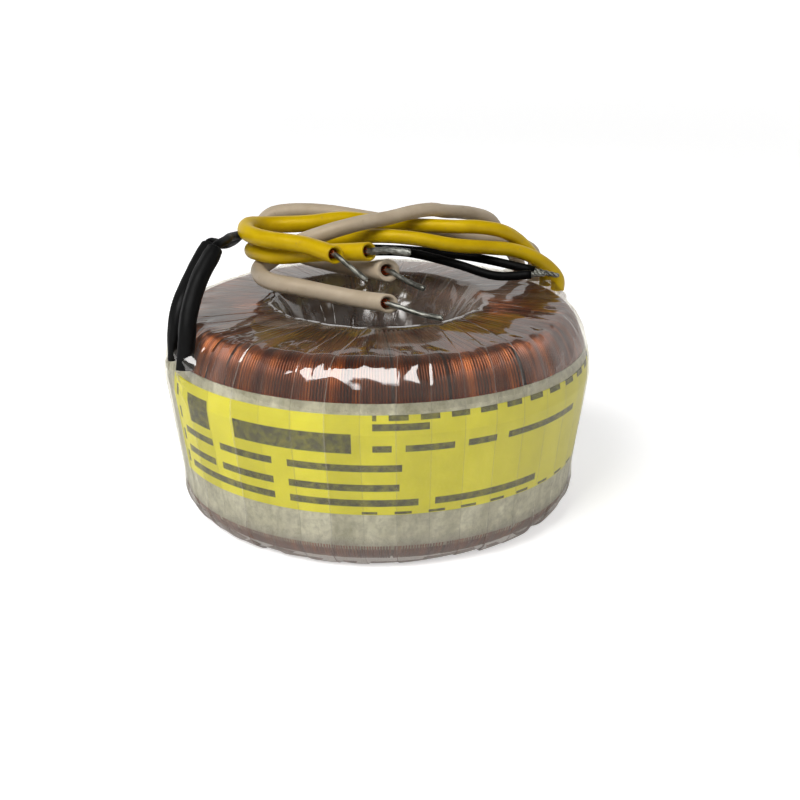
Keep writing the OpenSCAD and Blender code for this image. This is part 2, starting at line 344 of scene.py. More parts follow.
# ---------------------------------------------------------------- leads
ROUTES = {
    "white_lead_1": [[29, 23.5, 37], [28.9, 23.3, 39], [24.5, 23, 46], [22.5, 21.5, 49],
                     [18.5, 18, 51], [13, 13, 52.5], [10.5, 11, 53.2], [7, 9, 53.2], [2, 6.5, 52.5],
                     [-3.5, 4, 52], [-9.5, 3, 50.5], [-15.5, 4, 48], [-20, 4.5, 45], [-22, 2.5, 43.8],
                     [-20.5, -2.5, 43], [-14, -6.5, 42.5], [-4.5, -8.5, 41], [2, -12.5, 41]],
    "white_lead_2": [[31.5, 20, 37], [31.5, 20, 39], [31, 19, 43], [26.5, 17.5, 45.5],
                     [20, 16, 46.5], [12.5, 15.5, 48], [4.5, 16, 49.5], [-3.5, 15.5, 51], [-10, 15, 52],
                     [-17, 14.5, 52.2], [-20.5, 14, 51.5], [-22, 12.2, 49.7], [-20.2, 9.4, 48.1],
                     [-16, 7.7, 45.9], [-9, 2.5, 45], [-2.5, -1, 44.5], [2, -6, 45.5]],
    "yellow_lead_1": [[33.5, 16.5, 37], [33.4, 16.3, 39], [29.5, 14, 44.5], [27, 13, 47],
                      [24, 11, 49], [19.5, 10, 50], [14.5, 9.5, 50.2], [7.5, 11, 50.2], [0.5, 12, 50.5],
                      [-6, 10.5, 51.5], [-13.5, 9, 51], [-21, 8, 51], [-24, 5, 51.5], [-24, 1.5, 51],
                      [-20.5, -2, 50.5], [-13, -5, 50], [-7.5, -8.5, 49]],
    "yellow_lead_2": [[35.3, 12.2, 37], [35.3, 12.2, 39], [34, 11.5, 41], [31, 10.5, 43.5],
                      [26.5, 9.5, 45.5], [21.5, 7.5, 46.5], [14.5, 5.5, 47.5], [6.5, 5, 49], [-0.5, 7, 49],
                      [-7.5, 10.5, 47.5], [-15, 13.5, 45.5], [-20, 13, 45], [-23, 9, 46], [-23, 3.5, 47],
                      [-18.5, -0.5, 47], [-10.5, -2.5, 48], [-1.5, -6, 49]],
    "black_lead_1": [[-28.5, -12.5, 51], [-28.25, -12.05, 51.45], [-27, -7.5, 51.5], [-27, 2, 50],
                     [-25, 10.5, 48.5], [-22, 16.5, 46.5], [-15, 18.5, 44.5], [-5.5, 18, 43.5],
                     [5.5, 12.5, 44.5], [15, 7, 43.5], [22.5, 3.5, 42], [29, 2.5, 42.5]],
    "black_lead_2": [[-30.5, -5.5, 50], [-30.25, -4.85, 50.45], [-28.5, 1.5, 48.7], [-27.5, 9.5, 47.5],
                     [-25.5, 17, 47.5], [-22, 21.5, 45], [-15.5, 23, 43.5], [-5.5, 21, 43.5],
                     [6.5, 16.5, 44], [19, 10, 44], [30, 5.5, 42.5]],
    "black_sleeve_1": [[-33.5, -22.5, 32], [-33, -22, 36.5], [-32.5, -20.5, 41.5], [-31, -17, 46.5],
                       [-28.5, -12.5, 51]],
    "black_sleeve_2": [[-36, -17.5, 32.5], [-35.5, -18, 37], [-34.5, -16.5, 42], [-33, -12, 45.5],
                       [-30.5, -5.5, 50]],
}
# radii of a thick lead and a black lead, and the radius and depth of a thick lead's open end
LEAD_R, BLACK_R, HOLLOW_R, HOLLOW = 1.45, 0.85, 1.16, 3.0
# a thick lead's radius where the film stretches it, and how much it swells past that
STRETCHED_R, SWELL = 1.33, 0.27
# how far each lead opens out at its cut end, and how much the cut slants towards the front
FLARE = {"white_lead_1": 1.72, "white_lead_2": 2.05, "yellow_lead_1": 1.62, "yellow_lead_2": 1.72}
SLANT = {"white_lead_1": 0.55, "white_lead_2": 0.35, "yellow_lead_1": 0.45, "yellow_lead_2": 0.4}


def smoothstep(lo, hi, x):
    x = np.clip((x - lo) / (hi - lo), 0.0, 1.0)
    return x * x * (3 - 2 * x)


def lead_radii(path, flare):
    """A little tighter where the lead is stretched, and wider towards the loose end."""
    run = distances(path)
    left = run[-1] - run
    r = STRETCHED_R + SWELL * smoothstep(0.35, 0.65, run / run[-1])
    return r + (flare - STRETCHED_R - SWELL) * smoothstep(6.0, 0.0, left)


def open_tube(name, path, inner, depth, material):
    """A lead whose free end is open: a slanted cut with a rounded rim, then the inner wall."""
    sides = 32
    keep = [i for i in range(len(path)) if i == len(path) - 1
            or np.linalg.norm(path[i] - path[-1]) > 1.6]
    path = path[keep]
    radii = lead_radii(path, FLARE[name])
    rings = tube(path, radii, sides, lumps=0.03, seed=len(name))
    t, n, b = path_frames(path)[-1]
    end, r = path[-1], radii[-1]
    front = np.array([0.05, -0.95, 0.32])
    front = unit(front - np.dot(front, t) * t)
    around = [n * math.cos(2 * math.pi * k / sides) + b * math.sin(2 * math.pi * k / sides)
              for k in range(sides)]
    lean = [-SLANT[name] * r * float(np.dot(a, front)) for a in around]
    wall = r - inner
    steps = [(r, 0.0, 1.0), (r - 0.03, 0.09, 1.0), (r - 0.12, 0.15, 1.0), (r - wall * 0.5, 0.17, 1.0),
             (inner + 0.1, 0.12, 1.0), (inner, 0.0, 1.0), (inner * 0.98, -0.8, 0.6),
             (inner * 0.97, -depth, 0.0)]
    rings.pop()
    for out, ahead, part in steps:
        ring = []
        for k in range(sides):
            wob = 1 + 0.03 * noise.noise(Vector((math.cos(k * 0.196) * 2, out, len(name))))
            ring.append(end + t * (ahead + lean[k] * part) + around[k] * out * wob)
        rings.append(ring)
    return capped_tube(name + "_tube", rings, material)


def closed_tube(name, path, radii, material, sides, lumps):
    return capped_tube(name, tube(path, radii, sides, lumps), material)


def end_seat(route):
    """The bottom of a lead's open end."""
    last, before = np.array(route[-1], float), np.array(route[-2], float)
    return last - HOLLOW * unit(last - before)


TIPS = {
    "white_tip_1": ("white_lead_1", [[5.6, -1.5, -1.5], [9.5, -3.5, -1.8]]),
    "white_tip_2": ("white_lead_2", [[3, -3, -1.1], [6.5, -6, -2]]),
    "yellow_tip_1": ("yellow_lead_1", [[1.8, -1.5, -1.1], [5.7, -2.5, -4.2]]),
    "yellow_tip_2": ("yellow_lead_2", [[3.8, -2.5, 0.8], [7.5, -4, 0.6]]),
}


def make_tip(name, lead, offsets):
    """A stranded wire, twisted and tinned, that thickens to a bead of solder at its end."""
    route = ROUTES[lead]
    end = np.array(route[-1], float)
    path = smooth_path([end_seat(route), end] + [end + np.array(o, float) for o in offsets], 16)
    sides, flat = 18, 1.35 if name == "yellow_tip_2" else 1.0
    run = distances(path)
    rings = []
    for i, (c, (_, n, b)) in enumerate(zip(path, path_frames(path))):
        left = run[-1] - run[i]
        r = 0.47 + 0.07 * float(smoothstep(3.0, 0.6, left)) - 0.30 * float(smoothstep(0.35, 0.0, left))
        ring = []
        for k in range(sides):
            a = 2 * math.pi * k / sides
            twist = math.sin(4 * a - run[i] * 2.6)
            rr = r * (1 + 0.09 * twist * float(smoothstep(0.4, 2.0, left)))
            rr += 0.03 * noise.noise(Vector(c * 1.3 + n * math.cos(a)))
            ring.append(c + (n * math.cos(a) + b * math.sin(a) * flat) * rr)
        rings.append(ring)
    tip = capped_tube(name + "_wire", rings, tinned)
    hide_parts(name)
    return tip


def make_strands(name, route):
    """Bare copper strands showing round the tinned wire in an open end."""
    seat, end = end_seat(route), np.array(route[-1], float)
    t, n, b = path_frames(np.array([seat, end]))[0]
    strands, sides = 11, 8
    verts, faces = [], []
    for k in range(strands):
        a = 2 * math.pi * k / strands
        off = (n * math.cos(a) + b * math.sin(a)) * 0.73
        stop = 2.6 + 0.3 * math.sin(k * 2.1)
        path = np.array([seat + off - t * 0.2, seat + off + t * stop * 0.6, seat + off * 0.95 + t * stop])
        rings = tube(path, [0.2, 0.2, 0.12], sides)
        start = len(verts)
        verts += [p * MM for ring in rings for p in ring]
        faces += [f[::-1] for f in grid_faces(len(path), sides, wrap_cols=True, start=start)]
        last = start + (len(path) - 1) * sides
        faces.append(tuple(last + j for j in range(sides))[::-1])
        faces.append(tuple(start + j for j in range(sides)))
    return new_mesh(name, verts, faces, strand_copper)


tips = {name: make_tip(name, lead, offs) for name, (lead, offs) in TIPS.items()}
for name in ("white_lead_1", "white_lead_2", "yellow_lead_1", "yellow_lead_2"):
    white = name.startswith("white")
    path = smooth_path(ROUTES[name], 5)
    piece = open_tube(name, path, HOLLOW_R, HOLLOW,
                      white_pvc if white else yellow_pvc)
    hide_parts(name)
    core = make_strands(name + "_core", ROUTES[name])
    tip = tips[name.replace("lead", "tip")]


def twisted_end(name, start, away):
    """Three tinned strands twisted round each other, thinner at their end."""
    start, away = np.array(start, float), np.array(away, float)
    t, n, b = path_frames(np.array([start, start + away]))[0]
    length = np.linalg.norm(away)
    strands, steps, sides, turns = 3, 25, 10, 1.5
    verts, faces = [], []
    for s in range(strands):
        path, radii = [], []
        for i in range(steps):
            u = i / (steps - 1)
            a = 2 * math.pi * (s / strands + turns * u)
            path.append(start - t * 0.3 + t * (length + 0.3) * u
                        + (n * math.cos(a) + b * math.sin(a)) * 0.27 * (1 - 0.25 * u))
            radii.append(0.30 * (1 - 0.5 * max(0, u - 0.9) / 0.1))
        rings = tube(np.array(path), radii, sides)
        base = len(verts)
        verts += [p * MM for ring in rings for p in ring]
        faces += [f[::-1] for f in grid_faces(steps, sides, wrap_cols=True, start=base)]
        faces.append(tuple(base + k for k in range(sides)))
        last = base + (steps - 1) * sides
        faces.append(tuple(last + k for k in range(sides))[::-1])
    tip = new_mesh(name + "_wire", verts, faces, tinned)
    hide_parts(name)
    return tip


def make_sleeve(name, path, r):
    """Shrunk sleeve: pinched at the foot, creased along its length and cut off blunt at the top."""
    sides = 26
    run = distances(path)
    rings = []
    frames_ = path_frames(path)
    for i, (c, (t, n, b)) in enumerate(zip(path, frames_)):
        u = run[i] / run[-1]
        foot = float(smoothstep(0.30, 0.0, u))
        neck = float(smoothstep(0.93, 1.0, u))
        ring = []
        for k in range(sides):
            a = 2 * math.pi * k / sides
            rr = r * (1 - 0.42 * foot * abs(math.cos(a)) - 0.10 * neck)
            rr *= 1 - 0.10 * math.exp(-((math.sin((a - 1.1 - 0.8 * u) / 2)) / 0.16) ** 2)
            rr += 0.07 * noise.noise(Vector(c * 0.35 + n * math.cos(a) * 1.2))
            ring.append(c + (n * math.cos(a) + b * math.sin(a)) * rr)
        rings.append(ring)
    t, n, b = frames_[-1]
    for out, ahead in ((r * 0.86, 0.12), (r * 0.7, 0.16), (BLACK_R * 1.02, 0.10)):
        rings.append([path[-1] + t * ahead + (n * math.cos(2 * math.pi * k / sides)
                                              + b * math.sin(2 * math.pi * k / sides)) * out
                      for k in range(sides)])
    return capped_tube(name + "_shrink", rings, black_shrink)


# each black lead: its number, where its bare end points and its sleeve's radius
for k, away, sleeve_r in ((1, (2.6, -0.4, 0.2), 1.6), (2, (4.4, -1.8, -0.6), 1.5)):
    name = "black_lead_%d" % k
    tip = twisted_end("black_tip_%d" % k, ROUTES[name][-1], away)
    path = smooth_path(ROUTES[name], 7)
    piece = closed_tube(name + "_tube", path, [BLACK_R] * len(path), black_pvc,
                        sides=20, lumps=0.02)
    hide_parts(name)
    sleeve = "black_sleeve_%d" % k
    shell = make_sleeve(sleeve, smooth_path(ROUTES[sleeve], 14), sleeve_r)
    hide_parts(sleeve)

# ---------------------------------------------------------------- body section
BODY_R, BODY_H, BORE_R = 40.0, 39.0, 13.5
WIDEST, TAPER, SHOULDER, FALL, CORNER = 26.0, 3.0, 6.0, 0.8, 6.0
FUNNEL_W, FUNNEL_H = 6.5, 12.0
# thickness of the layers: film, band with label, each secondary, interlayer and primary
FILM_IN, FILM_END, FILM_OUT = 1.0, 0.8, 0.4
BAND, SEC_IN, SEC_OUT, INTERLAYER, PRI_IN, PRI_OUT = 0.5, 1.4, 0.6, 0.3, 2.9, 1.6
# the whole build-up over the core, on the bore wall and on the outside wall
DEEP_IN = FILM_IN + 2 * SEC_IN + INTERLAYER + PRI_IN
DEEP_OUT = FILM_OUT + BAND + 2 * SEC_OUT + INTERLAYER + PRI_OUT


def section(t, low=None, fine=1):
    """The body's section in mm, taken in by the build-up t on the bore wall, the ends and the
    outside: a closed loop of (r, z), from the bottom corner up the outside, over the top, down
    the bore and back along the base."""
    ri, ro = BORE_R + t[0], BODY_R - t[2]
    z0, z1 = (t[1] if low is None else low), BODY_H - t[1]
    left = 1 - t[0] / (DEEP_IN + 0.6)
    fw, fh = FUNNEL_W * left, FUNNEL_H * left
    tp = TAPER * max(0, 1 - t[2] / DEEP_OUT)
    cr = max(0.6, CORNER - 0.68 * t[1])
    sw = max(0.6, SHOULDER - t[2])
    fall = FALL * left
    sh = z1 - fall - WIDEST
    pts = []
    for a in np.radians(np.linspace(0, 90, 7 * fine)):
        pts.append((ro - tp - cr + cr * math.sin(a), z0 + cr - cr * math.cos(a)))
    for u in np.linspace(0, 1, 8 * fine)[1:-1]:
        pts.append((ro - tp + tp * u, z0 + cr + (WIDEST - z0 - cr) * u))
    for a in np.radians(np.linspace(0, 90, 12 * fine)):
        pts.append((ro - sw + sw * math.cos(a), WIDEST + sh * math.sin(a)))
    r_rim = ri + fw
    for u in np.linspace(0, 1, 7 * fine)[1:-1]:
        pts.append(((ro - sw) * (1 - u) + r_rim * u, z1 - fall * (1 - u)))
    for u in np.linspace(1, 0, 10 * fine):
        pts.append((ri + fw * u ** 1.5, z1 - fh * (1 - u)))
    for u in np.linspace(0, 1, 6 * fine)[1:-1]:
        pts.append((ri, (z1 - fh) * (1 - u) + (z0 + fh) * u))
    for u in np.linspace(0, 1, 10 * fine):
        pts.append((ri + fw * u ** 1.5, z0 + fh * (1 - u)))
    for u in np.linspace(0, 1, 6 * fine)[1:-1]:
        pts.append((r_rim * (1 - u) + (ro - tp - cr) * u, z0))
    return np.array(pts)


def section_normals(p):
    """Outward normals of a closed loop of points."""
    d = np.roll(p, -1, axis=0) - np.roll(p, 1, axis=0)
    n = np.stack([d[:, 1], -d[:, 0]], axis=1)
    return n / np.linalg.norm(n, axis=1)[:, None]


# ---------------------------------------------------------------- copper winding
def copper_material():
    m = Mat("enamelled_copper")
    angle, radius, z = m.cylinder()
    p = m.position()
    vec = m.vector(m.times(angle, 150), m.times(radius, 50), m.times(z, 50))
    per_turn = m.noise(1.0, vec, 2, 0.6)
    broad = m.noise(50, p, 3, 0.5)
    colour = m.ramp(per_turn, [(0.3, rgb(98, 44, 14)), (0.5, rgb(132, 64, 24)), (0.7, rgb(190, 104, 44))])
    colour = m.mix(m.span(broad, 0.35, 0.7, 0.0, 0.4), colour, rgb(64, 26, 12))
    return m.done(m.surface(Base_Color=colour, Metallic=0.7, Roughness=0.34,
                            Coat_Weight=0.4, Coat_Roughness=0.15))


def painted_shade_bed_material():
    m = Mat("copper_bed_painted_shade")
    # the bed is the deeper copper, coloured nearly black as painted shade in the gaps between the turns
    colour = m.mix(m.noise(300, m.position(), 4), rgb(34, 15, 8), rgb(58, 25, 12))
    return m.done(m.surface(Base_Color=colour, Metallic=0.2, Roughness=0.55))


copper = copper_material()
painted_shade_copper = painted_shade_bed_material()


TURNS, WIRE_R = 480, 0.225
# the stretch of the side where no turns are made, because the band hides them
BAND_LOW, BAND_HIGH = 5.0, 30.0


def make_winding():
    """Copper turns round the section, open behind the band, on a bed of deeper copper whose dark colour is
    painted shade between the turns.
    """
    sec = (FILM_IN, FILM_END, FILM_OUT + BAND)
    bed = section([t + 0.25 for t in sec], fine=2)
    cols = 128
    verts = []
    for i in range(len(bed)):
        for j in range(cols):
            a = 2 * math.pi * j / cols
            verts.append((bed[i, 0] * math.cos(a) * MM, bed[i, 0] * math.sin(a) * MM, bed[i, 1] * MM))
    faces = grid_faces(len(bed), cols, wrap_rows=True, wrap_cols=True)
    new_mesh("winding_bed", verts, [f[::-1] for f in faces], painted_shade_copper)
    line = section(sec)
    # the turns run over the top, down the bore, along the base and up to the band's lower edge
    start = next(i for i, (r, z) in enumerate(line) if r > 33 and z >= BAND_HIGH)
    order = [(start + k) % len(line) for k in range(len(line))]
    order = [i for i in order if not (line[i, 0] > 33 and BAND_LOW < line[i, 1] < BAND_HIGH)]
    normals = section_normals(line)
    verts, faces = [], []
    sides, m = 4, len(order)
    for k in range(TURNS):
        drift = noise.noise(Vector((k * 0.09, 3.0, 0.0)))
        base = 2 * math.pi * (k + 0.5 * drift + rng.uniform(-0.05, 0.05)) / TURNS
        lean = 0.03 * drift + (0.04 if rng.random() < 0.02 else 0.0)
        lift = rng.uniform(-0.02, 0.03)
        first = len(verts)
        for q, i in enumerate(order):
            r, z = line[i]
            nr, nz = normals[i]
            u = q / (m - 1)
            a = base + lean * math.sin(math.pi * 2 * u + k * 0.02)
            # nearer the bore the turns crowd, so some of them lie deeper
            crowd = -0.25 * ((k * 7919) % 3) * min(1, max(0, 30 - r) / 10)
            for s in range(sides):
                phi = math.pi * s / (sides - 1)
                side = math.cos(phi) * WIRE_R
                up = math.sin(phi) * WIRE_R - 0.05 + lift + crowd
                rr = r + nr * up
                zz = z + nz * up
                aa = a + side / max(r, 8.0)
                verts.append((rr * math.cos(aa) * MM, rr * math.sin(aa) * MM, zz * MM))
        faces += grid_faces(m, sides, start=first)
    turns = new_mesh("winding_turns", verts, faces, copper)
    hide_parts("secondary_winding_2")


make_winding()

# ---------------------------------------------------------------- film wrap
STRIPS = 42
# half the tape's width, which sets how far a strip leans as it goes into the hole
TAPE_HALF = 6.0
# where the points lie across a strip, closest at its edge, where it steps down to the next
FRACTIONS = (0.0, 0.04, 0.12, 0.25, 0.38, 0.5, 0.62, 0.75, 0.86, 0.95, 0.985)
# soft tents over the feet of the leads: place, height, reach across and reach up
POCKETS = [(ROUTES[n][0], 1.5, 2.0, 3.0) for n in
           ("white_lead_1", "white_lead_2", "yellow_lead_1", "yellow_lead_2")]
POCKETS += [((-33.2, -22.2, 33.0), 2.3, 2.0, 4.0), ((-35.8, -17.4, 33.5), 2.1, 1.9, 4.0)]


def make_film(material):
    """The wrapped tape: one skin made of overlapping strips, each with its own lie."""
    line = section((0.06, 0.1, 0.14), low=0.0, fine=2)
    normals = section_normals(line)
    strips = [(rng.uniform(-0.05, 0.05), rng.uniform(0.7, 1.3), rng.uniform(-0.06, 0.06),
               rng.uniform(0.0, 0.5), rng.uniform(-0.3, 0.3)) for _ in range(STRIPS)]
    rows = len(line)
    cols = STRIPS * len(FRACTIONS)
    pts = np.zeros((rows, cols, 3))
    for i in range(rows):
        r, z = line[i]
        nr, nz = normals[i]
        shift = math.asin(min(0.95, TAPE_HALF / r)) - math.asin(TAPE_HALF / BODY_R)
        on_base = z < 0.02
        on_top = float(smoothstep(33.0, 37.0, z)) * float(smoothstep(35.5, 33.0, r))
        in_bore = float(smoothstep(19.0, 16.0, r))
        mouth = float(smoothstep(25.0, 19.0, r)) * float(smoothstep(30.0, 33.0, z))
        low_side = float(smoothstep(33.0, 30.0, z))
        shoulder = float(smoothstep(31.0, 34.0, z)) * float(smoothstep(30.0, 33.0, r))
        corner = float(smoothstep(8.5, 5.0, z)) * float(smoothstep(30.0, 34.0, r))
        highest = 0.5 if corner > 0 else 0.14 if r > 20 else 1.0
        for k in range(STRIPS):
            lift, step, tilt, low_lift, low_tilt = strips[k]
            for q, f in enumerate(FRACTIONS):
                a = 2 * math.pi * (k + f) / STRIPS + shift
                ca, sa = math.cos(a), math.sin(a)
                h = (0.025 + 0.075 * low_side) * step * f + tilt * f * 0.6 + lift * 0.5
                h += corner * (low_lift + low_tilt * (f - 0.5))
                wide = noise.noise(Vector((ca * 2.4, sa * 2.4, r * 0.08 + z * 0.02)))
                wave = noise.noise(Vector((ca * 7.0 + 3, sa * 7.0, r * 0.16 + z * 0.12)))
                fold = noise.noise(Vector((ca * r * 0.5, sa * r * 0.5, z * 0.22 + 9)))
                deep = noise.noise(Vector((ca * r * 0.22, sa * r * 0.22, z * 0.13 + 5)))
                h += on_top * (0.12 * wide + 0.02 * wave)
                h += shoulder * (0.2 * wave + 0.24 * fold)
                h += in_bore * (0.4 + 1.3 * deep + 0.15 * fold) + mouth * 0.4 * deep
                if 5 < z < 31 and r > 30:
                    h += 0.05 * wave
                if on_base:
                    h = min(h, 0.0) * 0.2
                h = max(-0.22 if r > 20 else -0.1, min(highest, h))
                pts[i, k * len(FRACTIONS) + q] = ((r + nr * h) * ca, (r + nr * h) * sa, max(0.0, z + nz * h))
    # raise the film into soft tents over the leads that go under it
    a = np.arctan2(pts[:, :, 1], pts[:, :, 0])
    nrm = np.stack([normals[:, :1] * np.cos(a), normals[:, :1] * np.sin(a),
                    np.repeat(normals[:, 1:], cols, axis=1)], axis=-1)
    push = np.zeros(pts.shape[:2])
    for at, height, across, up in POCKETS:
        d = pts - np.array(at, float)
        radial = unit(np.array([at[0], at[1], 0.0]))
        round_ = np.array([-radial[1], radial[0], 0.0])
        e = (d @ round_ / across) ** 2 + (d[..., 2] / up) ** 2 + ((d @ radial) / up) ** 2
        crease = 1 + 0.25 * np.sin(d[..., 2] * 1.9 + (d @ round_) * 1.2)
        push = np.maximum(push, height * np.exp(-0.5 * e) * crease)
    push = np.where(pts[..., 2] < 20, 0, push)
    pts += nrm * push[..., None]
    verts = (pts * MM).reshape(-1, 3)
    faces = [f[::-1] for f in grid_faces(rows, cols, wrap_rows=True, wrap_cols=True)]
    film = new_mesh("film_skin", verts, faces, material)
    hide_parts("film_wrap")


def strip_pattern(m, angle, radius):
    """For each strip of the wrap, a number of its own, and a mask on its edge, where the film gets a painted
    glint.
    """
    ratio = m.math("DIVIDE", TAPE_HALF * MM, m.math("MAXIMUM", radius, 0.0065))
    lean = m.math("DIVIDE", m.math("ARCSINE", ratio), 2 * math.pi)
    strip = m.times(m.math("SUBTRACT", angle, lean), float(STRIPS))
    strip = m.plus(strip, STRIPS * math.asin(TAPE_HALF / BODY_R) / (2 * math.pi))
    number = m.math("FLOOR", strip)
    white = m.add("ShaderNodeTexWhiteNoise", noise_dimensions="1D")
    m.link(number, white.inputs["W"])
    edge = m.span(m.math("SUBTRACT", strip, number), 0.962, 0.985)
    return white.outputs[0], edge


def film_material():
    """Clear film with a milky haze where its layers are many, under a glossy coat; the haze also carries
    painted shade in the hole, painted sheen on the top's back and painted glints on the strip edges.
    """
    m = Mat("clear_film")
    angle, radius, z = m.cylinder()
    p = m.position()
    x, y, _ = m.parts(p)
    own, edge = strip_pattern(m, angle, radius)
    along = m.vector(m.times(angle, 60.0), m.times(radius, 40.0), m.times(z, 40.0))
    streak = m.noise(1.0, along, 4, 0.6)
    cloud = m.noise(60, p, 4, 0.6, 0.6)

    # where the film lies: on the side, in the hole, on the bottom corner, on the top, and on the top's back
    # and left, which carry painted sheen
    side = m.times(m.span(z, 0.0325, 0.0300), m.span(radius, 0.030, 0.034))
    hole = m.span(radius, 0.0225, 0.0165)
    low = m.times(m.span(z, 0.007, 0.004), m.span(radius, 0.028, 0.033))
    flat = m.times(m.span(z, 0.0365, 0.0375), m.span(radius, 0.034, 0.031))
    back = m.times(flat, m.math("MAXIMUM", m.span(y, -0.004, 0.014), m.span(x, -0.010, -0.022)))
    # a crease of yellowed film runs round the mouth of the hole
    rim = m.times(m.span(radius, 0.0150, 0.0172), m.span(radius, 0.0208, 0.0186))
    rim = m.times(rim, m.span(m.noise(90, p, 3, 0.6, 0.8), 0.5, 0.68))

    milk = m.plus(m.span(cloud, 0.45, 0.75, 0.01, 0.06), m.times(own, 0.04))
    milk = m.times(milk, m.span(side, 0.0, 1.0, 1.0, 0.25))
    milk = m.plus(milk, m.times(flat, 0.10))
    # a streaky haze on the top's back and left: painted sheen, standing in for the backdrop's grey
    # reflection
    milk = m.plus(milk, m.times(back, m.span(streak, 0.42, 0.62, 0.02, 0.36)))
    milk = m.plus(milk, m.times(hole, m.span(cloud, 0.35, 0.6, 0.66, 0.88)))
    milk = m.plus(milk, m.times(low, 0.55))
    # a thin milky line on each strip's edge: the cut edge's own haze and a painted glint
    line = m.times(edge, m.span(own, 0.0, 1.0, 0.08, 0.3))
    milk = m.plus(milk, m.times(line, m.span(radius, 0.022, 0.033, 0.1, 1.0)), clamp=True)

    wrinkle = m.bump(m.noise(110, p, 2, 0.4, 0.4), 0.16, 0.0006)
    wrinkle = m.bump(m.times(streak, m.span(radius, 0.026, 0.031)), 0.1, 0.0004, wrinkle)
    tint = m.mix(own, (0.82, 0.81, 0.76, 1), (0.94, 0.93, 0.89, 1))
    tint = m.mix(m.times(rim, 0.6), tint, rgb(196, 178, 104))
    clear = m.add("ShaderNodeBsdfTransparent")
    m.link(tint, clear.inputs["Color"])
    # the haze's colour: pale on the side, grey-brown on the top, brown on the bottom corner, and dark in the
    # hole, where the darkness is painted shade
    tone = m.mix(hole, m.mix(flat, rgb(180, 172, 160), rgb(122, 108, 96)), rgb(100, 88, 80))
    tone = m.mix(low, tone, rgb(116, 100, 92))
    haze = m.add("ShaderNodeBsdfDiffuse")
    m.link(m.mix(rim, tone, rgb(140, 126, 74)), haze.inputs["Color"])
    m.link(wrinkle, haze.inputs["Normal"])
    body = m.mix_shader(m.plus(milk, m.times(rim, 0.22), clamp=True),
                        clear.outputs[0], haze.outputs[0])

    gloss = m.add("ShaderNodeBsdfGlossy")
    gloss.inputs["Color"].default_value = (1, 0.985, 0.965, 1)
    m.link(m.span(radius, 0.0190, 0.0150, 0.05, 0.2), gloss.inputs["Roughness"])
    m.link(wrinkle, gloss.inputs["Normal"])
    fresnel = m.add("ShaderNodeFresnel")
    fresnel.inputs["IOR"].default_value = 1.45
    m.link(wrinkle, fresnel.inputs["Normal"])
    shine = m.span(fresnel.outputs[0], 0.034, 1.0, 0.09, 0.55)
    shine = m.times(shine, m.span(side, 0.0, 1.0, 1.0, 0.45))
    return m.done(m.mix_shader(shine, body, gloss.outputs[0]))


make_film(film_material())


# ---------------------------------------------------------------- CAD nodes that stay
def paper_material():
    m = Mat("band_paper")
    angle, _, z = m.cylinder()
    p = m.position()
    fibre = m.noise(900, p, 4, 0.7)
    vert = m.noise(1.0, m.vector(m.times(angle, 70.0), m.times(z, 90.0), 0.0), 4, 0.65)
    colour = m.mix(m.span(vert, 0.35, 0.7), rgb(186, 183, 162), rgb(232, 230, 212))
    colour = m.mix(m.times(m.span(fibre, 0.42, 0.66), 0.4), colour, rgb(120, 116, 104))
    cloud = m.noise(150, p, 4, 0.6)
    colour = m.mix(m.times(m.span(cloud, 0.5, 0.66), 0.3), colour, rgb(140, 134, 124))
    return m.done(m.surface(Base_Color=colour, Roughness=0.7,
                            Normal=m.bump(m.plus(fibre, vert), 0.3, 0.0004)))


# the angle of the label's left edge in degrees, and the label's radius in mm
LABEL_START, LABEL_R = 203.0, 39.3


